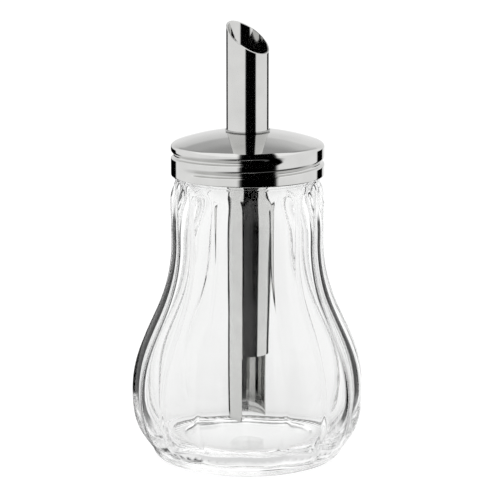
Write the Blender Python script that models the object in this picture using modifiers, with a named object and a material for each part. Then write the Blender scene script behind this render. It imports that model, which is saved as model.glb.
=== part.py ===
"""A table pourer for sugar: a fluted glass jar, a pressed steel screw cap, and a steel tube.

The jar stands on z = 0 with its axis on +Z. The front is -Y and the right is +X.
The tube is fixed in the cap by a pressed ring, and the cap carries a sealing ring that
meets the jar's rim. The cap's rolled thread and the glass thread are both right-handed,
have the same pitch, and lie half a pitch apart on one helix, so the cap unscrews freely.
"""
import math

import bmesh
import bpy
from mathutils import Vector
from mathutils.geometry import interpolate_bezier

MM = 0.001

# Whole object
TOTAL_HEIGHT = 150.0 * MM
GAP = 0.3 * MM                       # clearance between pieces that touch on the real object

# Jar body, measured over the crests of its ribs
BELLY_RADIUS = 40.3 * MM
BELLY_HEIGHT = 23.0 * MM
WAIST_RADIUS = 26.3 * MM
WAIST_HEIGHT = 75.5 * MM
SHOULDER_RADIUS = 26.6 * MM
SHOULDER_HEIGHT = 90.5 * MM
HEEL_RADIUS = 33.0 * MM
HEEL_HEIGHT = 2.2 * MM
FOOT_RADIUS = 30.6 * MM              # outer edge of the ring that it stands on
FOOT_ROUNDING = 1.2 * MM
FOOT_INNER_RADIUS = 25.0 * MM
FOOT_SLOPE = 3.0 * MM                # width of the slope up to the hollow under the base
PUSH_UP = 1.5 * MM                   # height of that hollow
WALL = 1.8 * MM                      # glass behind the bottom of a groove
FLOOR_HEIGHT = 4.5 * MM
FLOOR_CROWN = 0.5 * MM               # rise of the floor's middle
FLOOR_RADIUS = 22.5 * MM
LEDGE_DROP = 0.7 * MM                # the ledge over the shoulder lies this far under the neck

# Lengths of the outline's curve handles: longer ones make a fuller curve
SHOULDER_PULL_DOWN = 4.3 * MM
WAIST_PULL_UP = 6.9 * MM
WAIST_PULL_DOWN = 24.4 * MM
BELLY_PULL_UP = 20.2 * MM
BELLY_PULL_DOWN = 13.4 * MM
HEEL_PULL_OUT = 3.7 * MM
HEEL_PULL_UP = 5.6 * MM
FLOOR_PULL = 10.0 * MM
LEDGE_PULL = 1.7 * MM
SHOULDER_PULL_UP = 2.0 * MM

# Ribs: convex, with a sharp groove between neighbours, and a rounded top
RIB_COUNT = 16
RIB_DEPTH = 1.1 * MM
RIB_PHASE = math.radians(-3.1)       # direction of one groove, from +X
RIB_ROUND_START = 89.0 * MM          # the arch at the top of each rib starts here
RIB_ROUND_LENGTH = 6.0 * MM
RIB_FADE_LOW = 2.5 * MM              # the ribs fade into the heel between these heights
RIB_FADE_HIGH = 13.0 * MM

# Jar neck and its thread
NECK_RADIUS = 24.2 * MM
NECK_START = 97.3 * MM
NECK_INNER_RADIUS = 21.0 * MM
RIM_HEIGHT = 106.2 * MM
RIM_ROUNDING = 0.6 * MM
THREAD_PITCH = 25.4 / 6 * MM         # six turns to the inch
THREAD_HEIGHT = 0.9 * MM
THREAD_HALF_WIDTH = 1.0 * MM

# Cap: sheet steel, a shallow dome on a threaded skirt
CAP_BOTTOM = 98.0 * MM
CAP_RADIUS = 26.2 * MM
CAP_SHEET = 0.4 * MM
CAP_HEM = 0.8 * MM                   # thickness of the folded lower edge
CAP_HEM_HEIGHT = 1.3 * MM
CAP_EDGE_HEIGHT = 9.7 * MM           # where the skirt turns into the rounded edge
CAP_EDGE_RADIUS = 1.4 * MM
CAP_DOME_RADIUS = 75.0 * MM
CAP_LIP_HEIGHT = 0.5 * MM            # collar around the tube's hole, above the dome
CAP_LIP_THICKNESS = 0.32 * MM
CAP_HOLE_DEPTH = 0.56 * MM           # lower edge of that hole, under the dome's top
GROOVE_DEPTH = 1.0 * MM
GROOVE_ABOVE = 1.9 * MM              # the groove's reach above and below its deepest line
GROOVE_BELOW = 1.0 * MM
GROOVE_AT_FRONT = 3.7 * MM           # centre of the groove's lower turn at -Y, above the cap's edge
GROOVE_FROM = math.radians(205.0)    # directions from +X, counted upwards along the helix
GROOVE_TO = math.radians(663.0)
THREAD_FROM = math.radians(290.0)
THREAD_TO = math.radians(690.0)
THREAD_FADE = math.radians(28.0)
FRONT = math.radians(270.0)

# Sealing ring under the dome
SEAL_OUTER_RADIUS = 24.7 * MM
SEAL_INNER_RADIUS = 20.8 * MM
SEAL_TOP = 10.3 * MM                 # its highest level, above the cap's lower edge

# Pouring tube
TUBE_RADIUS = 7.3 * MM
TUBE_WALL = 0.5 * MM
TUBE_BOTTOM = 11.8 * MM
MOUTH_DROP = 10.4 * MM               # from the highest to the lowest point of the slanted mouth
MOUTH_DIRECTION = math.radians(-40)  # the low side of the mouth, from +X
WINDOW_HEIGHT = 23.2 * MM
WINDOW_PLANE = 3.0 * MM              # the window's cut lies this far from the tube's axis
WINDOW_CORNER = 1.5 * MM
CUTTER_SIZE = 40.0 * MM              # size of the boxes that cut the tube
CUTTER_MARGIN = 5.0 * MM             # how far the window's box reaches below the tube

# Pressed ring that grips the tube under the dome
RING_FLANGE_RADIUS = 9.8 * MM
RING_SLEEVE_RADIUS = 8.3 * MM
RING_THICKNESS = 0.6 * MM
RING_SLEEVE_LENGTH = 3.5 * MM

JAR_STEPS = 4 * RIB_COUNT
CAP_STEPS = 48
TUBE_STEPS = 32
ROW_PITCH = 0.55 * MM                # spacing of the mesh rows that carry a thread
NEAR = 0.1 * MM                      # tolerance when points are told apart by their place

COLLECTION_NAME = "sugar_pourer"


def clear_scene():
    """Remove every object, so that the model starts from nothing."""
    for scene_object in list(bpy.data.objects):
        bpy.data.objects.remove(scene_object, do_unlink=True)


def new_collection(name):
    """Make a collection in the scene."""
    collection = bpy.data.collections.new(name)
    bpy.context.scene.collection.children.link(collection)
    return collection


def make_material(name, color, roughness, metallic=0.0, transmission=0.0, ior=1.5):
    """Make a Principled material of one colour."""
    material = bpy.data.materials.new(name)
    material.use_nodes = True
    shader = material.node_tree.nodes["Principled BSDF"]
    shader.inputs["Base Color"].default_value = (*color, 1.0)
    shader.inputs["Roughness"].default_value = roughness
    shader.inputs["Metallic"].default_value = metallic
    shader.inputs["Transmission Weight"].default_value = transmission
    shader.inputs["IOR"].default_value = ior
    material.diffuse_color = (*color, 1.0)
    return material


def bezier(start, start_handle, end_handle, end, count):
    """Points of one Bezier segment in (radius, height), without its last point."""
    knots = [Vector((r, z, 0.0)) for r, z in (start, start_handle, end_handle, end)]
    return [(point.x, point.y) for point in interpolate_bezier(*knots, count + 1)][:-1]


def arc(center, radius, start_degrees, end_degrees, count):
    """Points on a circular arc in (radius, height), both ends included."""
    points = []
    for i in range(count + 1):
        angle = math.radians(start_degrees + (end_degrees - start_degrees) * i / count)
        points.append((center[0] + radius * math.cos(angle), center[1] + radius * math.sin(angle)))
    return points


def rows(radius, start_height, end_height):
    """Points on a cylinder's side, close enough together to carry a thread."""
    count = max(1, round(abs(end_height - start_height) / ROW_PITCH))
    step = (end_height - start_height) / count
    return [(radius, start_height + step * i) for i in range(count + 1)]


def turned(name, profile, steps, collection, closed=True):
    """Turn a (radius, height) profile about Z with a Screw modifier.

    A closed profile makes a ring. An open one starts and ends on the axis.
    """
    mesh = bpy.data.meshes.new(name)
    edges = [(i, i + 1) for i in range(len(profile) - 1)]
    if closed:
        edges.append((len(profile) - 1, 0))
    mesh.from_pydata([(r, 0.0, z) for r, z in profile], edges, [])
    turned_object = bpy.data.objects.new(name, mesh)
    collection.objects.link(turned_object)
    screw = turned_object.modifiers.new("Turn", 'SCREW')
    screw.steps = steps
    screw.render_steps = steps
    screw.use_merge_vertices = True
    screw.merge_threshold = 0.00001
    return turned_object


def apply_modifiers(turned_object):
    """Replace an object's mesh by its evaluated mesh."""
    graph = bpy.context.evaluated_depsgraph_get()
    mesh = bpy.data.meshes.new_from_object(turned_object.evaluated_get(graph))
    old_mesh = turned_object.data
    turned_object.modifiers.clear()
    turned_object.data = mesh
    bpy.data.meshes.remove(old_mesh)


def reshape(turned_object, radial_offset):
    """Move each vertex in or out by radial_offset(direction, height, radius)."""
    apply_modifiers(turned_object)
    model = bmesh.new()
    model.from_mesh(turned_object.data)
    for vertex in model.verts:
        radius = math.hypot(vertex.co.x, vertex.co.y)
        if radius < MM:
            continue
        direction = math.atan2(vertex.co.y, vertex.co.x)
        scale = 1.0 + radial_offset(direction, vertex.co.z, radius) / radius
        vertex.co.x *= scale
        vertex.co.y *= scale
    model.to_mesh(turned_object.data)
    model.free()


def finish(finished_object, material, smooth_angle=32.0):
    """Give an object its material and smooth shading with sharp edges."""
    finished_object.data.materials.append(material)
    finished_object.data.shade_smooth()
    finished_object.data.set_sharp_from_angle(angle=math.radians(smooth_angle))


def place(placed_object, parent, location, turn=0.0):
    """Parent an object and set its location and its rotation about Z."""
    placed_object.parent = parent
    placed_object.location = location
    placed_object.rotation_euler = (0.0, 0.0, turn)


def thread_bump(direction, height, base_height, start, end, reach_above, reach_below):
    """Relative height, 0 to 1, of a helical bead at a point of a cylinder.

    The bead's centre is at base_height in the direction FRONT. It rises one pitch a turn,
    from direction start to direction end, and fades in and out at both.
    """
    best = 0.0
    for turn in range(0, 4):
        along = direction + math.tau * turn
        if not start < along < end:
            continue
        center = base_height + THREAD_PITCH * (along - FRONT) / math.tau
        across = abs(height - center) / (reach_above if height > center else reach_below)
        if across < 1.0:
            fade = min(1.0, (along - start) / THREAD_FADE, (end - along) / THREAD_FADE)
            best = max(best, fade * math.cos(across * math.pi / 2) ** 2)
    return best


def rib_bump(direction, height):
    """Relative height, 0 in a groove to 1 on a crest, of the jar's ribs."""
    width = math.tau / RIB_COUNT
    across = 2.0 * ((direction / width) % 1.0) - 1.0
    above = max(0.0, (height - RIB_ROUND_START) / RIB_ROUND_LENGTH)
    return max(0.0, 1.0 - across ** 2 - above ** 2)


def jar_outline():
    """The jar's section: up the inside from the floor's centre, and down the outside."""
    inner_belly = BELLY_RADIUS - RIB_DEPTH - WALL
    inner_waist = WAIST_RADIUS - RIB_DEPTH - WALL
    crown_height = FLOOR_HEIGHT + FLOOR_CROWN
    inside = bezier((0.0, crown_height), (FLOOR_PULL, crown_height),
                    (FLOOR_RADIUS - FLOOR_PULL, FLOOR_HEIGHT), (FLOOR_RADIUS, FLOOR_HEIGHT), 2)
    inside += bezier((FLOOR_RADIUS, FLOOR_HEIGHT), (FLOOR_RADIUS + FLOOR_PULL, FLOOR_HEIGHT),
                     (inner_belly, BELLY_HEIGHT - FLOOR_PULL), (inner_belly, BELLY_HEIGHT), 5)
    inside += bezier((inner_belly, BELLY_HEIGHT), (inner_belly, BELLY_HEIGHT + BELLY_PULL_UP),
                     (inner_waist, WAIST_HEIGHT - WAIST_PULL_DOWN), (inner_waist, WAIST_HEIGHT), 7)
    inside += [(inner_waist, WAIST_HEIGHT), (inner_waist, SHOULDER_HEIGHT - SHOULDER_PULL_UP),
               (NECK_INNER_RADIUS, NECK_START), (NECK_INNER_RADIUS, RIM_HEIGHT - RIM_ROUNDING)]
    rim = [(NECK_INNER_RADIUS + RIM_ROUNDING, RIM_HEIGHT)]
    rim += [(NECK_RADIUS - RIM_ROUNDING, RIM_HEIGHT)]
    neck = rows(NECK_RADIUS, RIM_HEIGHT - RIM_ROUNDING, NECK_START)
    outside = bezier((NECK_RADIUS + RIB_DEPTH, NECK_START - LEDGE_DROP),
                     (SHOULDER_RADIUS, NECK_START - LEDGE_DROP - LEDGE_PULL),
                     (SHOULDER_RADIUS, SHOULDER_HEIGHT + SHOULDER_PULL_UP),
                     (SHOULDER_RADIUS, SHOULDER_HEIGHT), 6)
    outside += bezier((SHOULDER_RADIUS, SHOULDER_HEIGHT),
                      (SHOULDER_RADIUS, SHOULDER_HEIGHT - SHOULDER_PULL_DOWN),
                      (WAIST_RADIUS, WAIST_HEIGHT + WAIST_PULL_UP),
                      (WAIST_RADIUS, WAIST_HEIGHT), 3)
    outside += bezier((WAIST_RADIUS, WAIST_HEIGHT),
                      (WAIST_RADIUS, WAIST_HEIGHT - WAIST_PULL_DOWN),
                      (BELLY_RADIUS, BELLY_HEIGHT + BELLY_PULL_UP),
                      (BELLY_RADIUS, BELLY_HEIGHT), 9)
    outside += bezier((BELLY_RADIUS, BELLY_HEIGHT), (BELLY_RADIUS, BELLY_HEIGHT - BELLY_PULL_DOWN),
                      (HEEL_RADIUS + HEEL_PULL_OUT, HEEL_HEIGHT + HEEL_PULL_UP),
                      (HEEL_RADIUS, HEEL_HEIGHT), 7)
    heel = bezier((HEEL_RADIUS, HEEL_HEIGHT), (HEEL_RADIUS, HEEL_HEIGHT - FOOT_ROUNDING),
                  (FOOT_RADIUS + FOOT_ROUNDING, 0.0), (FOOT_RADIUS, 0.0), 3)
    foot = [(FOOT_RADIUS, 0.0), (FOOT_INNER_RADIUS, 0.0),
            (FOOT_INNER_RADIUS - FOOT_SLOPE, PUSH_UP), (0.0, PUSH_UP)]
    return inside + rim + neck + outside + heel + foot


def outside_points(outline):
    """The part of the jar's outline that runs down the outside from the rim."""
    heights = [height for _, height in outline]
    return outline[heights.index(RIM_HEIGHT) + 1:]


def radius_at(height, points):
    """Radius at a height, by interpolation in points that run downwards."""
    for (upper_radius, upper), (lower_radius, lower) in zip(points, points[1:]):
        if lower <= height <= upper and upper > lower:
            share = (height - lower) / (upper - lower)
            return lower_radius + (upper_radius - lower_radius) * share
    return 0.0


def jar_offset(direction, height, radius, points):
    """How far the jar's surface lies from its outline: ribs on the body, thread on the neck."""
    outside_neck = height > NECK_START and radius > NECK_RADIUS - NEAR
    if outside_neck:
        glass_base = CAP_BOTTOM + GROOVE_AT_FRONT - THREAD_PITCH / 2
        world_direction = direction + RIB_PHASE
        bump = thread_bump(world_direction, height, glass_base, THREAD_FROM, THREAD_TO,
                           THREAD_HALF_WIDTH, THREAD_HALF_WIDTH)
        return THREAD_HEIGHT * bump
    inside = height > FLOOR_HEIGHT - MM and radius < radius_at(height, points) - WALL / 2
    if inside or not RIB_FADE_LOW < height < NECK_START - NEAR:
        return 0.0
    depth = RIB_DEPTH * min(1.0, (height - RIB_FADE_LOW) / (RIB_FADE_HIGH - RIB_FADE_LOW))
    return -depth * (1.0 - rib_bump(direction, height))


def make_jar(collection, material):
    """The glass jar with its ribs, its threaded neck and its hollow base."""
    outline = jar_outline()
    points = outside_points(outline)
    jar = turned("glass_jar", outline, JAR_STEPS, collection, closed=False)
    reshape(jar, lambda direction, height, radius: jar_offset(direction, height, radius, points))
    finish(jar, material)
    return jar


def cap_outline():
    """The cap's section: down the outside from the tube's hole, and up the inside.

    Heights are above the cap's lower edge.
    """
    hole = TUBE_RADIUS + GAP
    edge_center = (CAP_RADIUS - CAP_EDGE_RADIUS, CAP_EDGE_HEIGHT)
    dome_height = cap_dome_center()
    inner_wall = CAP_RADIUS - CAP_SHEET
    edge_degrees = math.degrees(math.atan2(edge_center[1] - dome_height, edge_center[0]))
    dome_degrees = math.degrees(math.acos((hole + 2 * CAP_SHEET) / CAP_DOME_RADIUS))
    lip_top = dome_height + CAP_DOME_RADIUS + CAP_LIP_HEIGHT
    outside = [(hole, lip_top), (hole + CAP_LIP_THICKNESS, lip_top)]
    outside += arc((0.0, dome_height), CAP_DOME_RADIUS, dome_degrees, edge_degrees, 5)
    outside += arc(edge_center, CAP_EDGE_RADIUS, edge_degrees, 0.0, 4)[1:-1]
    outside += rows(CAP_RADIUS, edge_center[1], CAP_HEM / 2)
    hem = [(CAP_RADIUS - CAP_HEM / 4, 0.0), (CAP_RADIUS - 3 * CAP_HEM / 4, 0.0)]
    hem += [(CAP_RADIUS - CAP_HEM, CAP_HEM / 2), (CAP_RADIUS - CAP_HEM, CAP_HEM_HEIGHT)]
    inside = rows(inner_wall, CAP_HEM_HEIGHT + CAP_SHEET / 2, edge_center[1])
    inside += arc(edge_center, CAP_EDGE_RADIUS - CAP_SHEET, 0.0, edge_degrees, 3)[1:-1]
    inside += arc((0.0, dome_height), CAP_DOME_RADIUS - CAP_SHEET, edge_degrees, dome_degrees, 4)
    inside += [(hole, lip_top - CAP_LIP_HEIGHT - CAP_HOLE_DEPTH)]
    return outside + hem + inside


def cap_dome_center():
    """Height of the dome's centre of curvature, so that the dome meets the rounded edge."""
    reach = CAP_DOME_RADIUS - CAP_EDGE_RADIUS
    return CAP_EDGE_HEIGHT - math.sqrt(reach ** 2 - (CAP_RADIUS - CAP_EDGE_RADIUS) ** 2)


def cap_offset(direction, height, radius):
    """The rolled groove of the skirt, which is a bead on its inside."""
    if radius < CAP_RADIUS - 1.5 * CAP_SHEET or height < CAP_HEM_HEIGHT:
        return 0.0
    return -GROOVE_DEPTH * thread_bump(direction, height, GROOVE_AT_FRONT, GROOVE_FROM, GROOVE_TO,
                                       GROOVE_ABOVE, GROOVE_BELOW)


def make_cap(collection, material):
    """The steel cap with its hemmed edge, rolled thread, dome and tube hole."""
    cap = turned("screw_cap", cap_outline(), CAP_STEPS, collection)
    reshape(cap, cap_offset)
    finish(cap, material)
    return cap


def make_seal(collection, material):
    """The sealing ring: flat where it meets the glass, and domed against the cap."""
    bottom = RIM_HEIGHT + GAP - CAP_BOTTOM
    dome_radius = CAP_DOME_RADIUS - CAP_SHEET - GAP
    count = 3
    top = []
    for i in range(count + 1):
        radius = SEAL_INNER_RADIUS + (SEAL_OUTER_RADIUS - SEAL_INNER_RADIUS) * i / count
        dome = cap_dome_center() + math.sqrt(dome_radius ** 2 - radius ** 2)
        top.append((radius, min(dome, SEAL_TOP)))
    bottom_face = [(SEAL_OUTER_RADIUS, bottom), (SEAL_INNER_RADIUS, bottom)]
    seal = turned("cap_seal", top + bottom_face, CAP_STEPS, collection)
    finish(seal, material)
    return seal


def make_cutter(name, size, location, tilt, collection):
    """A box that cuts the tube, kept out of the model."""
    bpy.ops.mesh.primitive_cube_add(size=1.0)
    cutter = bpy.context.active_object
    cutter.name = name
    for vertex in cutter.data.vertices:
        vertex.co = Vector(a * b for a, b in zip(vertex.co, size))
    cutter.location = location
    cutter.rotation_euler = (0.0, tilt, 0.0)
    cutter.hide_render = True
    cutter.display_type = 'WIRE'
    for owner in list(cutter.users_collection):
        owner.objects.unlink(cutter)
    collection.objects.link(cutter)
    return cutter


def make_tube(collection, cutters, material, parent):
    """The pouring tube, cut at a slant at its mouth and open on one side at its lower end."""
    length = TOTAL_HEIGHT - TUBE_BOTTOM
    inner = TUBE_RADIUS - TUBE_WALL
    middle = length / 2
    profile = [(TUBE_RADIUS, length), (TUBE_RADIUS, middle), (TUBE_RADIUS, 0.0)]
    profile += [(inner, 0.0), (inner, middle), (inner, length)]
    tube = turned("pouring_tube", profile, TUBE_STEPS, collection)
    slope = math.atan2(MOUTH_DROP, 2 * TUBE_RADIUS)
    mouth_middle = length - MOUTH_DROP / 2
    lift = CUTTER_SIZE / 2
    mouth = make_cutter("mouth_cutter", (CUTTER_SIZE, CUTTER_SIZE, CUTTER_SIZE),
                        (math.sin(slope) * lift, 0.0, mouth_middle + math.cos(slope) * lift),
                        slope, cutters)
    window = make_cutter("window_cutter",
                         (CUTTER_SIZE, CUTTER_SIZE, WINDOW_HEIGHT + CUTTER_MARGIN),
                         (WINDOW_PLANE + CUTTER_SIZE / 2, 0.0,
                          (WINDOW_HEIGHT - CUTTER_MARGIN) / 2), 0.0, cutters)
    rounding = window.modifiers.new("Rounded corners", 'BEVEL')
    rounding.width = WINDOW_CORNER
    rounding.segments = 3
    for cutter in (mouth, window):
        cutter.parent = tube
        cut = tube.modifiers.new(cutter.name, 'BOOLEAN')
        cut.operation = 'DIFFERENCE'
        cut.object = cutter
    place(tube, parent, (0.0, 0.0, TUBE_BOTTOM - CAP_BOTTOM), MOUTH_DIRECTION)
    finish(tube, material)
    return tube


def make_ring(collection, material):
    """The pressed ring that grips the tube: a flange under the dome and a short sleeve."""
    bore = TUBE_RADIUS + GAP
    dome_radius = CAP_DOME_RADIUS - CAP_SHEET - GAP
    top = cap_dome_center() + math.sqrt(dome_radius ** 2 - RING_FLANGE_RADIUS ** 2)
    bottom = top - RING_THICKNESS
    profile = [(bore, top), (RING_FLANGE_RADIUS, top), (RING_FLANGE_RADIUS, bottom),
               (RING_SLEEVE_RADIUS, bottom), (RING_SLEEVE_RADIUS, bottom - RING_SLEEVE_LENGTH),
               (bore, bottom - RING_SLEEVE_LENGTH)]
    ring = turned("tube_retaining_ring", profile, TUBE_STEPS, collection)
    finish(ring, material)
    return ring


def build():
    """Make the whole pourer."""
    clear_scene()
    parts = new_collection(COLLECTION_NAME)
    cutters = new_collection("cutters")
    glass = make_material("clear_glass", (0.95, 0.96, 0.96), 0.02, transmission=1.0)
    steel = make_material("stainless_steel", (0.62, 0.62, 0.61), 0.18, metallic=1.0)
    tube_steel = make_material("tube_steel", (0.60, 0.60, 0.60), 0.22, metallic=1.0)
    ring_steel = make_material("ring_steel", (0.50, 0.50, 0.50), 0.35, metallic=1.0)
    seal_material = make_material("seal_plastic", (0.85, 0.85, 0.83), 0.5)

    root = bpy.data.objects.new("pourer", None)
    parts.objects.link(root)
    jar = make_jar(parts, glass)
    place(jar, root, (0.0, 0.0, 0.0), RIB_PHASE)
    cap_axis = bpy.data.objects.new("cap_axis", None)
    parts.objects.link(cap_axis)
    place(cap_axis, root, (0.0, 0.0, CAP_BOTTOM))
    place(make_cap(parts, steel), cap_axis, (0.0, 0.0, 0.0))
    place(make_seal(parts, seal_material), cap_axis, (0.0, 0.0, 0.0))
    place(make_ring(parts, ring_steel), cap_axis, (0.0, 0.0, 0.0))
    make_tube(parts, cutters, tube_steel, cap_axis)


build()
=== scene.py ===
import math

import bpy
import numpy as np
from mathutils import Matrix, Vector
from mathutils.geometry import interpolate_bezier


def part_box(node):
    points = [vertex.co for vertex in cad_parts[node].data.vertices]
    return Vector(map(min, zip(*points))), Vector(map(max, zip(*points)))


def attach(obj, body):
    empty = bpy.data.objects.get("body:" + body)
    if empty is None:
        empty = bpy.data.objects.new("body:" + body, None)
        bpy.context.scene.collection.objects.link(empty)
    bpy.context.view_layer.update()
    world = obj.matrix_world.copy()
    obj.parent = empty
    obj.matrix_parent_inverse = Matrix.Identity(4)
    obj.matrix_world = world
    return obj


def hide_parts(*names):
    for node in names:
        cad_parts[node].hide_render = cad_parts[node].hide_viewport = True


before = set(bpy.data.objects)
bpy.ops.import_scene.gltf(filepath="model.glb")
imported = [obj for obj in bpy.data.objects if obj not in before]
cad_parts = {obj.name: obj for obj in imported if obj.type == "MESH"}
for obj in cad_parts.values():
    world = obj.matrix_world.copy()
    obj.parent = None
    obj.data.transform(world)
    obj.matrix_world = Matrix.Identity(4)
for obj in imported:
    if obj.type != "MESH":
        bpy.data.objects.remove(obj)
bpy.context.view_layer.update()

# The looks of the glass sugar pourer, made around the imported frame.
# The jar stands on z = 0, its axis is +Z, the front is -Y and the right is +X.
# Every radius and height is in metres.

MM = 0.001


def low_high(node):
    """Lowest and highest corners of a CAD node, as vectors."""
    low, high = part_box(node)
    return Vector(low), Vector(high)


# Sizes that the frame gives
CAP_LOW, CAP_HIGH = low_high("screw_cap")
SEAL_LOW, SEAL_HIGH = low_high("cap_seal")
TUBE_LOW, TUBE_HIGH = low_high("pouring_tube")
RING_LOW, RING_HIGH = low_high("tube_retaining_ring")
RIM_HEIGHT = low_high("glass_jar")[1].z
CAP_BOTTOM = CAP_LOW.z
CAP_RADIUS = (CAP_HIGH.x - CAP_LOW.x) / 2
TUBE_RADIUS = (TUBE_HIGH.x - TUBE_LOW.x) / 2
CONTACT = 0.05 * MM                  # gap where two pieces touch
RUN_STEP = 0.1 * MM                  # from the last point of one run to the next run

# Jar outline, measured over the crests of the ribs
BELLY_RADIUS = 40.2 * MM             # 0.1 mm less than in the CAD, to stay inside its box
BELLY_HEIGHT = 23.0 * MM
WAIST_RADIUS = 26.3 * MM
WAIST_HEIGHT = 75.5 * MM
SHOULDER_RADIUS = 26.6 * MM
SHOULDER_HEIGHT = 90.5 * MM
HEEL_RADIUS = 33.0 * MM
HEEL_HEIGHT = 2.2 * MM
HEEL_ROUNDING = 1.2 * MM
FOOT_RADIUS = 30.6 * MM
FOOT_INNER_RADIUS = 25.0 * MM
PUSH_UP = 1.5 * MM                   # hollow under the floor
PUSH_UP_ROUNDING = 1.5 * MM
WALL = 1.8 * MM                      # thickness behind the bottom of a groove
FLOOR_HEIGHT = 4.5 * MM
FLOOR_RADIUS = 22.5 * MM
NECK_PULL_DOWN = 2.4 * MM            # lengths of the outline's curve handles
SHOULDER_PULL_UP = 2.0 * MM
SHOULDER_PULL_DOWN = 4.3 * MM
WAIST_PULL_UP = 6.9 * MM
WAIST_PULL_DOWN = 24.4 * MM
BELLY_PULL_UP = 20.2 * MM
BELLY_PULL_DOWN = 13.4 * MM
HEEL_PULL_OUT = 3.7 * MM
HEEL_PULL_UP = 5.6 * MM
INNER_NECK_PULL = 8.0 * MM
INNER_WAIST_PULL = 12.0 * MM
FLOOR_PULL = 10.0 * MM
FLOOR_CROWN = 0.5 * MM               # rise of the floor's middle
NECK_RADIUS = 24.2 * MM
NECK_START = 97.3 * MM
NECK_INNER_RADIUS = 21.0 * MM
RIM_ROUNDING = 0.8 * MM
COVE_ABOVE = 0.4 * MM                # hollow between the neck and the ribs
COVE_BELOW = 0.7 * MM
COVE_ROUNDING = 0.4 * MM
COVE_PULL = 0.3 * MM
UNEVENNESS = 0.12 * MM               # of the inner wall, which fades out at both ends
UNEVEN_FADE = 8.0 * MM
# Its waves: how many go round the jar, radians per metre of height, and phase
WAVES = [(3, 55.0, 0.4), (5, -90.0, 2.1), (2, 160.0, 1.3), (7, 35.0, 0.0)]

# Ribs and stipple of the glass
RIB_COUNT = 16
RIB_DEPTH = 1.1 * MM
RIB_PHASE = math.radians(-3.1)
RIB_ROUND_START = 89.0 * MM
RIB_ROUND_LENGTH = 6.0 * MM
RIB_RUN_OUT_LOW = 2.5 * MM
RIB_RUN_OUT_HIGH = 13.0 * MM
INNER_RIB_SHARE = 0.85               # how much of the ribs shows on the inside of the wall
INNER_RIB_START = 5.5 * MM
GROOVE_SOFTNESS = 0.07               # rounding of the groove's bottom, as a share of half a rib
ARCH_SOFTNESS = 0.10
STIPPLE_COUNT = 64                   # short bars pressed into the foot ring
STIPPLE_HEIGHT = 0.3 * MM
STIPPLE_FROM = 26.6 * MM
STIPPLE_TO = 29.4 * MM
STIPPLE_EDGE = 0.6 * MM
STIPPLE_SLOPE = 1.6                  # steepness of a bar's sides, and the gap beside it
STIPPLE_GAP = 0.4

# Threads of the jar and the cap
THREAD_PITCH = 25.4 / 6 * MM
THREAD_HEIGHT = 0.9 * MM
THREAD_HALF_WIDTH = 1.0 * MM
THREAD_FROM = math.radians(290.0)
THREAD_TO = math.radians(690.0)
GROOVE_DEPTH = 1.0 * MM
GROOVE_ABOVE = 1.9 * MM              # the groove's reach above and below its deepest line
GROOVE_BELOW = 1.0 * MM
GROOVE_AT_FRONT = 3.7 * MM
GROOVE_FROM = math.radians(205.0)
GROOVE_TO = math.radians(663.0)
GROOVE_FADE_FROM = 2.2 * MM          # behind the skirt's face
GROOVE_FADE_TO = 0.5 * MM
THREAD_FADE = math.radians(28.0)
FRONT = math.radians(270.0)

# Cap sheet
CAP_SHEET = 0.4 * MM
CAP_HEM = 0.8 * MM
CAP_HEM_HEIGHT = 1.3 * MM
CAP_EDGE_HEIGHT = 9.7 * MM
CAP_EDGE_RADIUS = 1.4 * MM
CAP_DOME_RADIUS = 75.0 * MM
CAP_LIP_HEIGHT = 0.5 * MM
CAP_LIP_BEND = 0.5 * MM              # where the lip meets the dome, out from the hole
CAP_LIP_SHEET = 1.2                  # the sheet at the hole, as a share of the cap's sheet
# The lip's edge and the flank below it, in millimetres out from the hole and up from the
# lip's top. Only the flank's last handle is up from the dome.
CAP_LIP_EDGE = [(0.0, -0.06), (0.06, 0.0), (0.37, 0.0), (0.42, -0.03), (0.42, -0.08)]
CAP_LIP_FLANK = [(0.40, -0.11), (0.20, -0.35), (0.20, 0.02)]
DOME_END = 24.6 * MM                 # where the dome starts to bend towards the skirt
DOME_PULL = 0.9 * MM
EDGE_PULL = 0.8 * MM

# Seal, tube and ring
SEAL_INNER = 20.8 * MM
SEAL_ROUNDING = 0.3 * MM
TUBE_WALL = 0.5 * MM
TUBE_EDGE = 0.08 * MM                # bevel of the tube's ends
MOUTH_DROP = 10.4 * MM
MOUTH_RUN = 2.2 * MOUTH_DROP         # length of tube that the slant is spread over
MOUTH_DIRECTION = math.radians(-40.0)
WINDOW_HEIGHT = 23.2 * MM
WINDOW_PLANE = 3.0 * MM
WINDOW_CORNER = 1.5 * MM
CUTTER_DEPTH = 20.0 * MM
CUTTER_BELOW = 10.0 * MM
RING_SLEEVE = 8.3 * MM
RING_SHEET = 0.6 * MM
RING_ROUNDING = 0.15 * MM
RING_FILLET = 0.3 * MM

# Steel: colour, roughness, its spread, stretch of the lines along X, Y and Z, bump
SPUN = (30.0, 30.0, 6000.0)
DRAWN = (3000.0, 3000.0, 20.0)
CAP_STEEL = ((0.64, 0.64, 0.63), 0.06, 0.02, SPUN, 0.1)
TUBE_STEEL = ((0.62, 0.62, 0.61), 0.08, 0.02, DRAWN, 0.1)
RING_STEEL = ((0.50, 0.50, 0.50), 0.32, 0.06, DRAWN, 0.3)
MOTTLE_SCALE = 140.0
MOTTLE_DARK = 0.92                   # tone of the darker patches of the steel
# Painted shade: a near-black ring of colour on the cap's steel round the tube stands for the shade
# in the gap at the joint.
JOINT_SHADE_GREY = 0.04                       # grey of the line between the lip and the tube
JOINT_SHADE_REACH = 0.36 * MM            # out from the tube
JOINT_SHADE_EDGE = 0.06 * MM

# Camera
CAMERA_PITCH = math.radians(12.2)
CAMERA_DISTANCE = 0.755
CAMERA_TARGET_HEIGHT = 71.5 * MM
CAMERA_SENSOR = 36.0
CAMERA_LENS = 158.0
CAMERA_SHIFT_X = 0.0045

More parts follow.
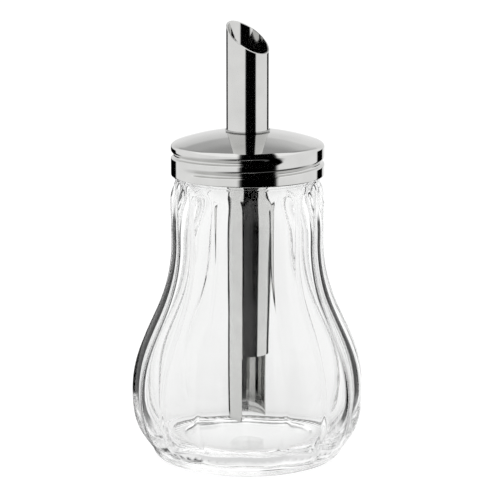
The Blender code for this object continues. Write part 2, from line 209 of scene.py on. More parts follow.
# Studio tones. Ramps hold (degrees, grey) stops. Bands hold start, end and softness, in
# degrees. Azimuth is 0 in front and 90 at the right, elevation is 0 at the horizon, and
# facing and tilt are the azimuth and elevation of a facet, as facet_angles says.
TENT_RAMP = [(-60.0, 0.7), (-20.0, 1.08), (40.0, 1.1), (50.0, 1.3)]
REAR_LEFT_RAMP = [(-8.0, 1.03), (4.0, 0.87), (10.0, 0.91), (24.6, 0.75), (25.6, 0.55),
                  (34.0, 0.52), (40.0, 0.43), (49.0, 0.43), (51.0, 1.3)]
REAR_RIGHT_RAMP = [(-8.0, 1.03), (2.0, 0.91), (8.0, 0.95), (24.6, 0.90), (25.6, 0.77),
                   (32.0, 0.71), (40.0, 0.43), (49.0, 0.40), (51.0, 1.3)]
REAR_SIDES = [(140.0, 0.0), (150.0, 1.0)]
REAR_CROSSING = 3.0                  # how sharply the rear changes from left to right
FLAG_BANDS = [(-174.0, -136.0, 1.5), (127.0, 150.0, 1.5)]
FLAG_ELEVATION = (-30.0, -3.0, 3.0)
FLAG_ELEVATION_IN_GLASS = (-36.0, 8.0, 4.0)
HAZE_GREY = 0.1
HAZE_FACING = (-18.0, 50.0, 8.0)
HAZE_TILT = (-64.0, -8.0, 7.0)
GAP_FACING = (-6.6, 22.2, 1.2)
GAP_TILT = (-27.0, 69.3, 0.6)
GAP_AZIMUTH_IN_GLASS = (-22.0, 62.0, 1.0)
GAP_ELEVATION_IN_GLASS = (-44.0, 20.0, 4.0)
WALL_RAMP = [(-90.0, 0.70), (-40.0, 0.78), (-8.0, 0.97), (20.0, 1.0), (60.0, 0.92)]
WALL_SIDE_GREY = 0.75
WALL_SIDES = (100.0, 155.0, 8.0)
STAGE_RADIUS = 4.0
STAGE_GREY = 0.2
STAGE_GLOW = 0.92

JAR_STEPS = 512
CAP_STEPS = 256
TUBE_STEPS = 192


# Shapes

def bezier(start, start_handle, end_handle, end, count):
    """Points of one Bezier segment in (radius, height), without its last point."""
    knots = [Vector((r, z, 0.0)) for r, z in (start, start_handle, end_handle, end)]
    return [(point.x, point.y) for point in interpolate_bezier(*knots, count + 1)][:-1]


def line(start, end, count):
    """Points of a straight run in (radius, height), without its last point."""
    share = [i / count for i in range(count)]
    return [(start[0] + (end[0] - start[0]) * s, start[1] + (end[1] - start[1]) * s) for s in share]


def arc(center, radius, start_degrees, end_degrees, count):
    """Points on a circular arc in (radius, height), both ends included."""
    points = []
    for i in range(count + 1):
        angle = math.radians(start_degrees + (end_degrees - start_degrees) * i / count)
        points.append((center[0] + radius * math.cos(angle), center[1] + radius * math.sin(angle)))
    return points


def new_piece(name, vertices, faces, material, smooth_angle=None):
    """Make a mesh object, smooth-shaded, with its material."""
    mesh = bpy.data.meshes.new(name)
    mesh.from_pydata(vertices, [], faces)
    mesh.materials.append(material)
    mesh.shade_smooth()
    if smooth_angle is not None:
        mesh.set_sharp_from_angle(angle=math.radians(smooth_angle))
    piece = bpy.data.objects.new(name, mesh)
    bpy.context.scene.collection.objects.link(piece)
    return piece


def ring_faces(rings, steps, closed):
    """Quads between neighbouring rings of a turned grid, facing out."""
    i = np.arange(rings if closed else rings - 1)[:, None]
    j = np.arange(steps)[None, :]
    after = (i + 1) % rings
    k = (j + 1) % steps
    quads = np.stack(np.broadcast_arrays(i * steps + j, after * steps + j, after * steps + k,
                                         i * steps + k), axis=-1)
    return quads.reshape(-1, 4).tolist()


def revolve(profile, steps, relief, closed):
    """Vertices and faces of a turned shape whose points a relief function moves.

    relief(direction, radius, height) gives the moved radius and height, on arrays.
    The profile runs down the outer side. An open one starts and ends on the axis.
    """
    points = np.array(profile)
    directions = np.arange(steps) * math.tau / steps
    radius, direction = np.meshgrid(points[:, 0], directions, indexing="ij")
    height = np.repeat(points[:, 1:2], steps, axis=1)
    radius, height = relief(direction, radius, height)
    grid = np.stack([radius * np.cos(direction), radius * np.sin(direction), height], axis=-1)
    if closed:
        return grid.reshape(-1, 3).tolist(), ring_faces(len(points), steps, True)
    rings = len(points) - 2
    vertices = grid[1:-1].reshape(-1, 3).tolist()
    first = len(vertices)
    vertices += [(0.0, 0.0, float(points[0, 1])), (0.0, 0.0, float(points[-1, 1]))]
    faces = ring_faces(rings, steps, False)
    last_ring = (rings - 1) * steps
    for j in range(steps):
        k = (j + 1) % steps
        faces.append((first, j, k))
        faces.append((first + 1, last_ring + k, last_ring + j))
    return vertices, faces


def smooth_step(values, low, high):
    """0 at low, 1 at high, and a smooth rise between, on arrays."""
    share = np.clip((values - low) / (high - low), 0.0, 1.0)
    return share * share * (3.0 - 2.0 * share)


def thread_relief(direction, height, base_height, start, end, reach_above, reach_below):
    """Relative height, 0 to 1, of a helical bead, on arrays."""
    best = np.zeros_like(height)
    for turn in range(2):            # no thread here reaches past two turns
        along = direction + math.tau * turn
        center = base_height + THREAD_PITCH * (along - FRONT) / math.tau
        reach = np.where(height > center, reach_above, reach_below)
        across = np.clip(np.abs(height - center) / reach, 0.0, 1.0)
        fade = smooth_step(np.minimum(along - start, end - along), 0.0, THREAD_FADE)
        best = np.maximum(best, fade * np.cos(across * math.pi / 2) ** 2)
    return best


def rib_relief(direction, height):
    """Relative height, 0 in a groove to 1 on a crest, of the jar's ribs, on arrays."""
    width = math.tau / RIB_COUNT
    from_groove = 1.0 - np.abs(2.0 * (((direction - RIB_PHASE) / width) % 1.0) - 1.0)
    soft = np.sqrt(from_groove ** 2 + GROOVE_SOFTNESS ** 2) - GROOVE_SOFTNESS
    soft = soft / (math.sqrt(1.0 + GROOVE_SOFTNESS ** 2) - GROOVE_SOFTNESS)
    above = np.clip((height - RIB_ROUND_START) / RIB_ROUND_LENGTH, 0.0, None)
    crown = soft * (2.0 - soft) - above ** 2
    return np.clip((crown + np.sqrt(crown ** 2 + ARCH_SOFTNESS ** 2)) / 2, 0.0, 1.0)


def waves(direction, height):
    """Slow unevenness of the inner wall, between -1 and 1, on arrays."""
    total = np.zeros_like(height)
    for turns, climb, phase in WAVES:
        total = total + np.sin(turns * direction + climb * height + phase)
    return total / len(WAVES)


# The glass jar

INSIDE, RIM, NECK, OUTSIDE, FOOT = range(5)


def jar_outline():
    """The jar's section, up the inside and down the outside, with a region for each point."""
    inner_belly = BELLY_RADIUS - RIB_DEPTH - WALL
    inner_waist = WAIST_RADIUS - RIB_DEPTH - WALL
    inside = bezier((0.0, FLOOR_HEIGHT + FLOOR_CROWN), (FLOOR_PULL, FLOOR_HEIGHT + FLOOR_CROWN),
                    (FLOOR_RADIUS - FLOOR_PULL, FLOOR_HEIGHT), (FLOOR_RADIUS, FLOOR_HEIGHT), 16)
    inside += bezier((FLOOR_RADIUS, FLOOR_HEIGHT), (FLOOR_RADIUS + FLOOR_PULL, FLOOR_HEIGHT),
                     (inner_belly, BELLY_HEIGHT - FLOOR_PULL), (inner_belly, BELLY_HEIGHT), 36)
    inside += bezier((inner_belly, BELLY_HEIGHT), (inner_belly, BELLY_HEIGHT + BELLY_PULL_UP),
                     (inner_waist, WAIST_HEIGHT - WAIST_PULL_DOWN), (inner_waist, WAIST_HEIGHT), 72)
    inside += bezier((inner_waist, WAIST_HEIGHT), (inner_waist, WAIST_HEIGHT + INNER_WAIST_PULL),
                     (NECK_INNER_RADIUS, NECK_START - INNER_NECK_PULL),
                     (NECK_INNER_RADIUS, NECK_START), 24)
    inside += line((NECK_INNER_RADIUS, NECK_START),
                   (NECK_INNER_RADIUS, RIM_HEIGHT - RIM_ROUNDING), 6)
    rim = arc((NECK_INNER_RADIUS + RIM_ROUNDING, RIM_HEIGHT - RIM_ROUNDING), RIM_ROUNDING,
              180.0, 90.0, 5)
    rim += arc((NECK_RADIUS - RIM_ROUNDING, RIM_HEIGHT - RIM_ROUNDING), RIM_ROUNDING,
               90.0, 0.0, 5)
    cove_top = NECK_START + COVE_ABOVE
    cove_foot = (NECK_RADIUS + RIB_DEPTH, NECK_START - COVE_BELOW)
    neck = line((NECK_RADIUS, RIM_HEIGHT - RIM_ROUNDING - RUN_STEP), (NECK_RADIUS, cove_top), 40)
    cove = bezier((NECK_RADIUS, cove_top), (NECK_RADIUS, NECK_START - COVE_PULL),
                  (NECK_RADIUS + COVE_ROUNDING, NECK_START - COVE_ROUNDING), cove_foot, 5)
    outside = bezier(cove_foot, (SHOULDER_RADIUS, NECK_START - NECK_PULL_DOWN),
                     (SHOULDER_RADIUS, SHOULDER_HEIGHT + SHOULDER_PULL_UP),
                     (SHOULDER_RADIUS, SHOULDER_HEIGHT), 18)
    outside += bezier((SHOULDER_RADIUS, SHOULDER_HEIGHT),
                      (SHOULDER_RADIUS, SHOULDER_HEIGHT - SHOULDER_PULL_DOWN),
                      (WAIST_RADIUS, WAIST_HEIGHT + WAIST_PULL_UP),
                      (WAIST_RADIUS, WAIST_HEIGHT), 20)
    outside += bezier((WAIST_RADIUS, WAIST_HEIGHT),
                      (WAIST_RADIUS, WAIST_HEIGHT - WAIST_PULL_DOWN),
                      (BELLY_RADIUS, BELLY_HEIGHT + BELLY_PULL_UP),
                      (BELLY_RADIUS, BELLY_HEIGHT), 80)
    outside += bezier((BELLY_RADIUS, BELLY_HEIGHT), (BELLY_RADIUS, BELLY_HEIGHT - BELLY_PULL_DOWN),
                      (HEEL_RADIUS + HEEL_PULL_OUT, HEEL_HEIGHT + HEEL_PULL_UP),
                      (HEEL_RADIUS, HEEL_HEIGHT), 34)
    heel = bezier((HEEL_RADIUS, HEEL_HEIGHT), (HEEL_RADIUS, HEEL_HEIGHT - HEEL_ROUNDING),
                  (FOOT_RADIUS + HEEL_ROUNDING, 0.0), (FOOT_RADIUS, 0.0), 12)
    foot = line((FOOT_RADIUS, 0.0), (FOOT_INNER_RADIUS, 0.0), 24)
    foot += bezier((FOOT_INNER_RADIUS, 0.0), (FOOT_INNER_RADIUS - PUSH_UP_ROUNDING, 0.0),
                   (FOOT_INNER_RADIUS - 2 * PUSH_UP_ROUNDING, PUSH_UP), (0.0, PUSH_UP), 16)
    foot += [(0.0, PUSH_UP)]
    parts = [(inside, INSIDE), (rim, RIM), (neck, NECK), (cove, RIM), (outside, OUTSIDE),
             (heel, FOOT), (foot, FOOT)]
    points = [point for run, _ in parts for point in run]
    regions = [region for run, region in parts for _ in run]
    return points, np.array(regions)


def jar_relief(regions):
    """The relief function of the jar: thread, ribs on both sides, unevenness, and stipple."""
    region = regions[:, None]

    def relief(direction, radius, height):
        glass_base = CAP_BOTTOM + GROOVE_AT_FRONT - THREAD_PITCH / 2
        bead = THREAD_HEIGHT * thread_relief(direction, height, glass_base, THREAD_FROM,
                                             THREAD_TO, THREAD_HALF_WIDTH, THREAD_HALF_WIDTH)
        depth = RIB_DEPTH * smooth_step(height, RIB_RUN_OUT_LOW, RIB_RUN_OUT_HIGH)
        ribs = -depth * (1.0 - rib_relief(direction, height))
        uneven = UNEVENNESS * waves(direction, height)
        uneven = uneven * np.clip((height - FLOOR_HEIGHT) / UNEVEN_FADE, 0.0, 1.0)
        uneven = uneven * np.clip((NECK_START - height) / UNEVEN_FADE, 0.0, 1.0)
        inner_ribs = INNER_RIB_SHARE * RIB_DEPTH * rib_relief(direction, height)
        inner_ribs = inner_ribs * smooth_step(height, INNER_RIB_START, RIB_RUN_OUT_HIGH)
        inner_ribs = inner_ribs * (1.0 - smooth_step(height, RIB_ROUND_START, NECK_START))
        moved = radius + np.where(region == NECK, bead, 0.0)
        moved = moved + np.where(region == OUTSIDE, ribs, 0.0)
        moved = moved + np.where(region == INSIDE, uneven + inner_ribs, 0.0)
        bars = np.sin(STIPPLE_COUNT * direction) * STIPPLE_SLOPE - STIPPLE_GAP
        bars = np.clip(bars, 0.0, 1.0)
        ring = smooth_step(radius, STIPPLE_FROM, STIPPLE_FROM + STIPPLE_EDGE)
        ring = ring * (1.0 - smooth_step(radius, STIPPLE_TO - STIPPLE_EDGE, STIPPLE_TO))
        raised = height + np.where(region == FOOT, STIPPLE_HEIGHT * bars * ring, 0.0)
        return moved, raised
    return relief


def make_jar(material):
    """The jar: one closed glass solid with a fine surface."""
    points, regions = jar_outline()
    vertices, faces = revolve(points, JAR_STEPS, jar_relief(regions), closed=False)
    jar = new_piece("jar_glass", vertices, faces, material)
    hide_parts("glass_jar")
    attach(jar, "jar")


# The steel cap

def cap_dome_center():
    """Height of the dome's centre of curvature above the cap's lower edge."""
    reach = CAP_DOME_RADIUS - CAP_EDGE_RADIUS
    return CAP_EDGE_HEIGHT - math.sqrt(reach ** 2 - (CAP_RADIUS - CAP_EDGE_RADIUS) ** 2)


def dome_height(radius, offset=0.0):
    """Height of the dome's surface, offset inwards, at a radius."""
    return CAP_BOTTOM + cap_dome_center() + math.sqrt((CAP_DOME_RADIUS - offset) ** 2 - radius ** 2)


def cap_top(offset):
    """The dome and its rounded edge, outwards to the skirt, offset inwards by a distance."""
    dome = CAP_BOTTOM + cap_dome_center()
    tilt = math.asin(DOME_END / CAP_DOME_RADIUS)
    start = (DOME_END, dome + CAP_DOME_RADIUS * math.cos(tilt))
    handle = (start[0] + DOME_PULL * math.cos(tilt), start[1] - DOME_PULL * math.sin(tilt))
    end = (CAP_RADIUS, CAP_BOTTOM + CAP_EDGE_HEIGHT)
    points = bezier(start, handle, (end[0], end[1] + EDGE_PULL), end, 40) + [end]
    run = np.array(points)
    along = np.gradient(run, axis=0)
    along = along / np.linalg.norm(along, axis=1)[:, None]
    along[-1] = (0.0, -1.0)
    run = run + offset * np.stack([along[:, 1], -along[:, 0]], axis=1)
    return [tuple(point) for point in run.tolist()]


def cap_outline():
    """The cap's section, down the outside from the lip at the tube, and up the inside."""
    hole = TUBE_RADIUS + CONTACT
    dome = CAP_BOTTOM + cap_dome_center()
    edge_height = CAP_BOTTOM + CAP_EDGE_HEIGHT
    bend = hole + CAP_LIP_BEND
    bend_height = dome_height(bend)
    top = dome_height(hole) + CAP_LIP_HEIGHT
    inner_start = 90.0 - math.degrees(math.asin(bend / CAP_DOME_RADIUS))
    inner_end = 90.0 - math.degrees(math.asin(DOME_END / CAP_DOME_RADIUS))
    outside = [(hole + out * MM, top + up * MM) for out, up in CAP_LIP_EDGE]
    start, upper, lower = [(hole + out * MM, up * MM) for out, up in CAP_LIP_FLANK]
    outside += bezier((start[0], top + start[1]), (upper[0], top + upper[1]),
                      (lower[0], bend_height + lower[1]), (bend, bend_height), 8)
    outside += arc((0.0, dome), CAP_DOME_RADIUS, inner_start, inner_end, 24)[:-1]
    outside += cap_top(0.0)
    outside += line((CAP_RADIUS, edge_height - RUN_STEP),
                    (CAP_RADIUS, CAP_BOTTOM + CAP_HEM / 2 + RUN_STEP / 2), 56)
    hem = arc((CAP_RADIUS - CAP_HEM / 2, CAP_BOTTOM + CAP_HEM / 2), CAP_HEM / 2, 0.0, -180.0, 10)
    hem += line((CAP_RADIUS - CAP_HEM, CAP_BOTTOM + CAP_HEM / 2 + RUN_STEP),
                (CAP_RADIUS - CAP_HEM, CAP_BOTTOM + CAP_HEM_HEIGHT), 3)
    wall = CAP_RADIUS - CAP_SHEET
    inside = line((wall, CAP_BOTTOM + CAP_HEM_HEIGHT + RUN_STEP),
                  (wall, edge_height - RUN_STEP), 44)
    inside += cap_top(CAP_SHEET)[::-1]
    inside += arc((0.0, dome), CAP_DOME_RADIUS - CAP_SHEET, inner_end, inner_start, 16)[1:]
    inside += [(hole, dome_height(hole) - CAP_LIP_SHEET * CAP_SHEET)]
    return outside + hem + inside


def cap_relief(direction, radius, height):
    """The rolled thread groove of the skirt, the same on its inside and its outside."""
    skirt = smooth_step(radius, CAP_RADIUS - GROOVE_FADE_FROM, CAP_RADIUS - GROOVE_FADE_TO)
    skirt = np.where(height > CAP_BOTTOM + CAP_HEM_HEIGHT, skirt, 0.0)
    groove = thread_relief(direction, height, CAP_BOTTOM + GROOVE_AT_FRONT, GROOVE_FROM, GROOVE_TO,
                           GROOVE_ABOVE, GROOVE_BELOW)
    return radius - GROOVE_DEPTH * skirt * groove, height


def make_cap(material):
    """The pressed steel cap."""
    vertices, faces = revolve(cap_outline(), CAP_STEPS, cap_relief, closed=True)
    cap = new_piece("steel_cap", vertices, faces, material)
    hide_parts("screw_cap")
    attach(cap, "cap")


def unmoved(direction, radius, height):
    """The relief function of a plain turned shape."""
    return radius, height


def make_seal(material):
    """The sealing ring, flat below and shaped to the cap above, with rounded edges."""
    outer = (SEAL_HIGH.x - SEAL_LOW.x) / 2
    bottom = RIM_HEIGHT + CONTACT
    near = SEAL_INNER + SEAL_ROUNDING
    far = outer - SEAL_ROUNDING
    under_cap = np.array(cap_top(CAP_SHEET + CONTACT))
    radii = np.linspace(near, far, 9)
    heights = np.interp(radii, under_cap[:, 0], under_cap[:, 1])
    edge_top = float(heights[-1])
    profile = [(SEAL_INNER, float(heights[0]) - SEAL_ROUNDING)]
    profile += list(zip(radii.tolist(), heights.tolist()))
    profile += arc((far, edge_top - SEAL_ROUNDING), SEAL_ROUNDING, 60.0, 0.0, 4)
    profile += arc((far, bottom + SEAL_ROUNDING), SEAL_ROUNDING, 0.0, -90.0, 5)
    profile += arc((near, bottom + SEAL_ROUNDING), SEAL_ROUNDING, 270.0, 180.0, 5)
    vertices, faces = revolve(profile, CAP_STEPS, unmoved, closed=True)
    seal = new_piece("seal_ring", vertices, faces, material, 50.0)
    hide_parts("cap_seal")
    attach(seal, "seal")


# The tube and its ring

def tube_relief(mouth_height):
    """Slant the tube's mouth: points above mouth_height are moved onto the cut."""
    def relief(direction, radius, height):
        slope = MOUTH_DROP / (2 * TUBE_RADIUS)
        cut = TUBE_HIGH.z - MOUTH_DROP / 2 - slope * radius * np.cos(direction - MOUTH_DIRECTION)
        share = np.clip((height - mouth_height) / (TUBE_HIGH.z - mouth_height), 0.0, 1.0)
        return radius, np.where(share > 0.0, mouth_height + share * (cut - mouth_height), height)
    return relief


def make_tube(material):
    """The pouring tube, with a slanted mouth and a window milled in its lower end."""
    mouth_height = TUBE_HIGH.z - MOUTH_RUN
    window_top = TUBE_LOW.z + WINDOW_HEIGHT
    inner = TUBE_RADIUS - TUBE_WALL
    heights = [TUBE_HIGH.z - TUBE_EDGE, mouth_height, window_top + WINDOW_CORNER,
               TUBE_LOW.z + TUBE_EDGE]
    outer_side = [(TUBE_RADIUS, z) for z in heights]
    inner_side = [(inner, z) for z in reversed(heights)]
    lip = [(inner + TUBE_EDGE, TUBE_HIGH.z), (TUBE_RADIUS - TUBE_EDGE, TUBE_HIGH.z)]
    foot = [(TUBE_RADIUS - TUBE_EDGE, TUBE_LOW.z), (inner + TUBE_EDGE, TUBE_LOW.z)]
    profile = lip + outer_side + foot + inner_side
    vertices, faces = revolve(profile, TUBE_STEPS, tube_relief(mouth_height), closed=True)
    tube = new_piece("steel_tube", vertices, faces, material)
    cut_window(tube, window_top)
    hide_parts("pouring_tube")
    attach(tube, "cap")


def cut_window(tube, window_top):
    """Cut the window with a rounded box, and apply the cut."""
    low = TUBE_LOW.z - CUTTER_BELOW
    bpy.ops.mesh.primitive_cube_add(size=1.0)
    cutter = bpy.context.active_object
    for vertex in cutter.data.vertices:
        vertex.co = Vector((vertex.co.x * CUTTER_DEPTH, vertex.co.y * CUTTER_DEPTH * 2,
                            vertex.co.z * (window_top - low)))
    away = WINDOW_PLANE + CUTTER_DEPTH / 2
    cutter.location = (away * math.cos(MOUTH_DIRECTION), away * math.sin(MOUTH_DIRECTION),
                       (window_top + low) / 2)
    cutter.rotation_euler = (0.0, 0.0, MOUTH_DIRECTION)
    bevel = cutter.modifiers.new("Corners", 'BEVEL')
    bevel.width = WINDOW_CORNER
    bevel.segments = 8
    cut = tube.modifiers.new("Window", 'BOOLEAN')
    cut.operation = 'DIFFERENCE'
    cut.object = cutter
    graph = bpy.context.evaluated_depsgraph_get()
    mesh = bpy.data.meshes.new_from_object(tube.evaluated_get(graph))
    tube.modifiers.clear()
    tube.data = mesh
    mesh.shade_smooth()
    mesh.set_sharp_from_angle(angle=math.radians(30.0))
    bpy.data.objects.remove(cutter, do_unlink=True)


def make_ring(material):
    """The pressed ring under the dome: a flange and a sleeve with rounded edges."""
    bore = TUBE_RADIUS + CONTACT
    flange = (RING_HIGH.x - RING_LOW.x) / 2
    top = dome_height(flange, CAP_SHEET + CONTACT)
    under = top - RING_SHEET
    profile = [(bore, top - RING_ROUNDING), (bore + RING_ROUNDING, top)]
    profile += arc((flange - RING_ROUNDING, top - RING_ROUNDING), RING_ROUNDING, 90.0, 0.0, 4)
    profile += arc((flange - RING_ROUNDING, under + RING_ROUNDING), RING_ROUNDING, 0.0, -90.0, 4)
    profile += arc((RING_SLEEVE + RING_FILLET, under - RING_FILLET), RING_FILLET, 90.0, 180.0, 4)
    profile += arc((RING_SLEEVE - RING_ROUNDING, RING_LOW.z + RING_ROUNDING), RING_ROUNDING,
                   0.0, -90.0, 4)
    profile += [(bore, RING_LOW.z)]
    vertices, faces = revolve(profile, TUBE_STEPS, unmoved, closed=True)
    ring = new_piece("retaining_ring", vertices, faces, material, 40.0)
    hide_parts("tube_retaining_ring")
    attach(ring, "cap")


# Nodes

def add_node(tree, kind, **values):
    """Add a node and set its properties and named inputs."""
    node = tree.nodes.new(kind)
    for key, value in values.items():
        if key in node.inputs:
            node.inputs[key].default_value = value
        else:
            setattr(node, key, value)
    return node


def math_node(tree, operation, first, second=None):
    """A Math node fed by sockets or numbers; returns its output socket."""
    node = tree.nodes.new("ShaderNodeMath")
    node.operation = operation
    for socket, value in zip(node.inputs, (first, second)):
        if value is None:
            continue
        if isinstance(value, (int, float)):
            socket.default_value = value
        else:
            tree.links.new(value, socket)
    return node.outputs[0]


def band_ramp(tree, degrees_socket, stops):
    """A ramp over an angle: stops are (degrees, grey value), joined by straight lines."""
    share = math_node(tree, 'DIVIDE', math_node(tree, 'ADD', degrees_socket, 180.0), 360.0)
    ramp = tree.nodes.new("ShaderNodeValToRGB")
    elements = ramp.color_ramp.elements
    while len(elements) < len(stops):
        elements.new(0.5)
    for element, (degrees, value) in zip(elements, stops):
        element.position = (degrees + 180.0) / 360.0
        element.color = (value, value, value, 1.0)
    tree.links.new(share, ramp.inputs["Fac"])
    return ramp.outputs["Color"]


def band(start, end, soft):
    """Ramp stops of a band of 1 between two angles, with soft edges."""
    return [(start - soft, 0.0), (start + soft, 1.0), (end - soft, 1.0), (end + soft, 0.0)]


def mixed(tree, factor, first, second):
    """A colour Mix node fed by sockets or grey numbers; returns its output socket."""
    node = tree.nodes.new("ShaderNodeMix")
    node.data_type = 'RGBA'
    for socket, value in ((node.inputs["Factor"], factor), (node.inputs["A"], first),
                          (node.inputs["B"], second)):
        if not isinstance(value, (int, float)):
            tree.links.new(value, socket)
        elif socket.type == 'RGBA':
            socket.default_value = (value, value, value, 1.0)
        else:
            socket.default_value = value
    return node.outputs["Result"]


def shade(tree, color, value, masks):
    """The colour, with a grey value or another colour laid over it where every mask is 1."""
    factor = masks[0]
    for mask in masks[1:]:
        factor = math_node(tree, 'MULTIPLY', factor, mask)
    return mixed(tree, factor, color, value)


# Materials

def new_material(name):
    """A new node material and its Principled shader."""
    material = bpy.data.materials.new(name)
    material.use_nodes = True
    return material, material.node_tree, material.node_tree.nodes["Principled BSDF"]


def glass_material():
    """Clear pressed glass: smooth, with a slight orange-peel unevenness."""
    material, tree, shader = new_material("clear_glass")
    shader.inputs["Base Color"].default_value = (0.98, 0.982, 0.98, 1.0)
    shader.inputs["Roughness"].default_value = 0.0
    shader.inputs["IOR"].default_value = 1.51
    shader.inputs["Transmission Weight"].default_value = 1.0
    shader.inputs["Specular Tint"].default_value = (0.4, 0.4, 0.4, 1.0)
    place = add_node(tree, "ShaderNodeTexCoord")
    noise = add_node(tree, "ShaderNodeTexNoise", Scale=70.0, Detail=1.0)
    bump = add_node(tree, "ShaderNodeBump", Strength=0.02, Distance=0.4 * MM)
    tree.links.new(place.outputs["Object"], noise.inputs["Vector"])
    tree.links.new(noise.outputs["Fac"], bump.inputs["Height"])
    tree.links.new(bump.outputs["Normal"], shader.inputs["Normal"])
    return material


def steel_material(name, color, roughness, spread, stretch, bump_strength):
    """Bright stainless steel with fine lines and a faint mottle.

    stretch scales the noise along X, Y and Z, and so sets which way the lines run.
    """
    material, tree, shader = new_material(name)
    shader.inputs["Metallic"].default_value = 1.0
    place = add_node(tree, "ShaderNodeTexCoord")
    shape = add_node(tree, "ShaderNodeMapping")
    shape.inputs["Scale"].default_value = stretch
    lines = add_node(tree, "ShaderNodeTexNoise", Scale=1.0, Detail=1.0, Roughness=0.5)
    clouds = add_node(tree, "ShaderNodeTexNoise", Scale=MOTTLE_SCALE, Detail=3.0)
    tone = add_node(tree, "ShaderNodeValToRGB")
    tone.color_ramp.elements[0].position = 0.3
    tone.color_ramp.elements[0].color = (*[c * MOTTLE_DARK for c in color], 1.0)
    tone.color_ramp.elements[1].position = 0.7
    tone.color_ramp.elements[1].color = (*color, 1.0)
    rough = add_node(tree, "ShaderNodeMapRange")
    rough.inputs["To Min"].default_value = roughness - spread
    rough.inputs["To Max"].default_value = roughness + spread
    bump = add_node(tree, "ShaderNodeBump", Strength=bump_strength, Distance=0.02 * MM)
    links = tree.links
    links.new(place.outputs["Object"], shape.inputs["Vector"])
    links.new(shape.outputs["Vector"], lines.inputs["Vector"])
    links.new(place.outputs["Object"], clouds.inputs["Vector"])
    links.new(clouds.outputs["Fac"], tone.inputs["Fac"])
    links.new(tone.outputs["Color"], shader.inputs["Base Color"])
    links.new(lines.outputs["Fac"], rough.inputs["Value"])
    links.new(rough.outputs["Result"], shader.inputs["Roughness"])
    links.new(lines.outputs["Fac"], bump.inputs["Height"])
    links.new(bump.outputs["Normal"], shader.inputs["Normal"])
    return material


def paint_joint_shade(material):
    """Paint shade into a steel close to the tube: a dark ring of colour stands for the shade in the
    gap at the joint.
    """
    tree = material.node_tree
    shader = tree.nodes["Principled BSDF"]
    color = shader.inputs["Base Color"].links[0].from_socket
    place = add_node(tree, "ShaderNodeTexCoord")
    split = add_node(tree, "ShaderNodeSeparateXYZ")
    tree.links.new(place.outputs["Object"], split.inputs[0])
    x, y, _ = split.outputs
    square = math_node(tree, 'ADD', math_node(tree, 'MULTIPLY', x, x),
                       math_node(tree, 'MULTIPLY', y, y))
    share = add_node(tree, "ShaderNodeMapRange")
    share.inputs["From Min"].default_value = TUBE_RADIUS + JOINT_SHADE_REACH - JOINT_SHADE_EDGE
    share.inputs["From Max"].default_value = TUBE_RADIUS + JOINT_SHADE_REACH + JOINT_SHADE_EDGE
    tree.links.new(math_node(tree, 'SQRT', square), share.inputs["Value"])
    # painted shade: the colour turns near-black inside the ring round the tube
    tree.links.new(mixed(tree, share.outputs["Result"], JOINT_SHADE_GREY, color),
                   shader.inputs["Base Color"])
    return material


def seal_material():
    """Soft white plastic with a faint mottle."""
    material, tree, shader = new_material("seal_plastic")
    shader.inputs["Roughness"].default_value = 0.55
    place = add_node(tree, "ShaderNodeTexCoord")
    noise = add_node(tree, "ShaderNodeTexNoise", Scale=900.0, Detail=3.0)
    tone = add_node(tree, "ShaderNodeValToRGB")
    tone.color_ramp.elements[0].color = (0.74, 0.74, 0.71, 1.0)
    tone.color_ramp.elements[1].color = (0.86, 0.86, 0.84, 1.0)
    bump = add_node(tree, "ShaderNodeBump", Strength=0.2, Distance=0.05 * MM)
    tree.links.new(place.outputs["Object"], noise.inputs["Vector"])
    tree.links.new(noise.outputs["Fac"], tone.inputs["Fac"])
    tree.links.new(tone.outputs["Color"], shader.inputs["Base Color"])
    tree.links.new(noise.outputs["Fac"], bump.inputs["Height"])
    tree.links.new(bump.outputs["Normal"], shader.inputs["Normal"])
    return material


# Studio

def add_camera():
    """The camera, in front and a little above, with a long lens."""
    data = bpy.data.cameras.new("camera")
    data.sensor_width = CAMERA_SENSOR
    data.lens = CAMERA_LENS
    data.shift_x = CAMERA_SHIFT_X
    data.clip_start = 0.01
    camera = bpy.data.objects.new("camera", data)
    bpy.context.scene.collection.objects.link(camera)
    camera.location = (0.0, -CAMERA_DISTANCE * math.cos(CAMERA_PITCH),
                       CAMERA_TARGET_HEIGHT + CAMERA_DISTANCE * math.sin(CAMERA_PITCH))
    camera.rotation_euler = (math.pi / 2 - CAMERA_PITCH, 0.0, 0.0)
    bpy.context.scene.camera = camera


def add_floor():
    """A plain white floor that almost lights itself, so that it meets the backdrop unseen."""
    bpy.ops.mesh.primitive_circle_add(vertices=128, radius=STAGE_RADIUS, fill_type='NGON')
    floor = bpy.context.active_object
    floor.name = "floor"
    material, _, shader = new_material("floor_white")
    shader.inputs["Base Color"].default_value = (STAGE_GREY, STAGE_GREY, STAGE_GREY, 1.0)
    shader.inputs["Roughness"].default_value = 1.0
    shader.inputs["Specular IOR Level"].default_value = 0.0
    shader.inputs["Emission Color"].default_value = (1.0, 1.0, 1.0, 1.0)
    shader.inputs["Emission Strength"].default_value = STAGE_GLOW
    floor.data.materials.append(material)
    floor.visible_glossy = False
    floor.visible_transmission = False


def in_degrees(tree, operation, first, second=None):
    """The angle that an inverse trigonometric Math node finds, in degrees."""
    return math_node(tree, 'MULTIPLY', math_node(tree, operation, first, second), 180.0 / math.pi)


def facet_angles(tree, x, y, z):
    """Azimuth and elevation of the facet that mirrors a direction towards the front view.

    The facet's normal is halfway between the direction and the one from which the front
    view looks. Both are fixed world directions, so nothing here follows the camera.
    """
    out = math_node(tree, 'SUBTRACT', math.cos(CAMERA_PITCH), y)
    rise = math_node(tree, 'ADD', z, math.sin(CAMERA_PITCH))
    level = math_node(tree, 'SQRT', math_node(tree, 'ADD', math_node(tree, 'POWER', out, 2.0),
                                              math_node(tree, 'MULTIPLY', x, x)))
    return in_degrees(tree, 'ARCTAN2', x, out), in_degrees(tree, 'ARCTAN2', rise, level)


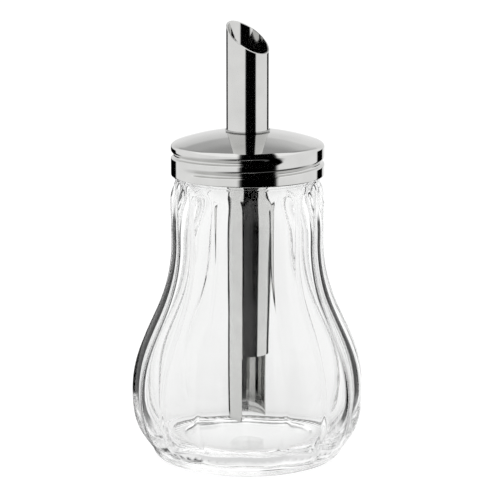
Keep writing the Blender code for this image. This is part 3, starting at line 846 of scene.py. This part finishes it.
def add_world():
    """A white tent with dark gaps at fixed directions, in three versions.

    What is mirrored is the tent, with a black gap in front, a dark haze below it, two black
    flags round the back, and grey tones behind. Once the light has passed the glass, the gap
    and the flags have other outlines, and the haze and the grey tones are left out. What
    shows straight through the glass, and what lights the floor, is a wall of light greys.
    The backdrop is white.
    """
    world = bpy.data.worlds.new("studio")
    bpy.context.scene.world = world
    world.use_nodes = True
    tree = world.node_tree
    background = tree.nodes["Background"]
    place = add_node(tree, "ShaderNodeTexCoord")
    split = add_node(tree, "ShaderNodeSeparateXYZ")
    tree.links.new(place.outputs["Generated"], split.inputs[0])
    x, y, z = split.outputs
    azimuth = in_degrees(tree, 'ARCTAN2', x, math_node(tree, 'MULTIPLY', y, -1.0))
    elevation = in_degrees(tree, 'ARCSINE', z)
    sideways = math_node(tree, 'ABSOLUTE', azimuth)
    facing, tilt = facet_angles(tree, x, y, z)
    path = add_node(tree, "ShaderNodeLightPath")
    direct = math_node(tree, 'LESS_THAN', path.outputs["Transmission Depth"], 0.5)
    in_glass = math_node(tree, 'SUBTRACT', 1.0, direct)
    mirrored = math_node(tree, 'GREATER_THAN', path.outputs["Glossy Depth"], 0.5)

    tent = band_ramp(tree, elevation, TENT_RAMP)
    to_right = math_node(tree, 'ADD', math_node(tree, 'MULTIPLY', x, REAR_CROSSING), 0.5)
    rear = mixed(tree, to_right, band_ramp(tree, elevation, REAR_LEFT_RAMP),
                 band_ramp(tree, elevation, REAR_RIGHT_RAMP))
    tent = shade(tree, tent, rear, [band_ramp(tree, sideways, REAR_SIDES), direct])
    flag_level = mixed(tree, direct, band_ramp(tree, elevation, band(*FLAG_ELEVATION_IN_GLASS)),
                       band_ramp(tree, elevation, band(*FLAG_ELEVATION)))
    flag_stops = [stop for flag in FLAG_BANDS for stop in band(*flag)]
    tent = shade(tree, tent, 0.0, [flag_level, band_ramp(tree, azimuth, flag_stops)])
    tent = shade(tree, tent, HAZE_GREY, [band_ramp(tree, tilt, band(*HAZE_TILT)), direct,
                                         band_ramp(tree, facing, band(*HAZE_FACING))])
    tent = shade(tree, tent, 0.0, [band_ramp(tree, facing, band(*GAP_FACING)), direct,
                                   band_ramp(tree, tilt, band(*GAP_TILT))])
    tent = shade(tree, tent, 0.0, [band_ramp(tree, elevation, band(*GAP_ELEVATION_IN_GLASS)),
                                   in_glass,
                                   band_ramp(tree, azimuth, band(*GAP_AZIMUTH_IN_GLASS))])

    wall = band_ramp(tree, elevation, WALL_RAMP)
    wall = shade(tree, wall, WALL_SIDE_GREY, [band_ramp(tree, sideways, band(*WALL_SIDES))])
    seen = mixed(tree, path.outputs["Is Camera Ray"], mixed(tree, mirrored, wall, tent), 1.0)
    tree.links.new(seen, background.inputs["Color"])
    background.inputs["Strength"].default_value = 1.0


def main():
    """Make the studio and every piece."""
    scene = bpy.context.scene
    scene.view_settings.view_transform = 'Standard'
    scene.cycles.max_bounces = 64            # light is guided far through the glass base
    scene.cycles.glossy_bounces = 48
    scene.cycles.transmission_bounces = 64
    add_camera()
    add_floor()
    add_world()
    make_jar(glass_material())
    # the cap's steel gets painted shade in a dark ring round the tube
    make_cap(paint_joint_shade(steel_material("cap_steel", *CAP_STEEL)))
    make_seal(seal_material())
    make_tube(steel_material("tube_steel", *TUBE_STEEL))
    make_ring(steel_material("ring_steel", *RING_STEEL))


main()
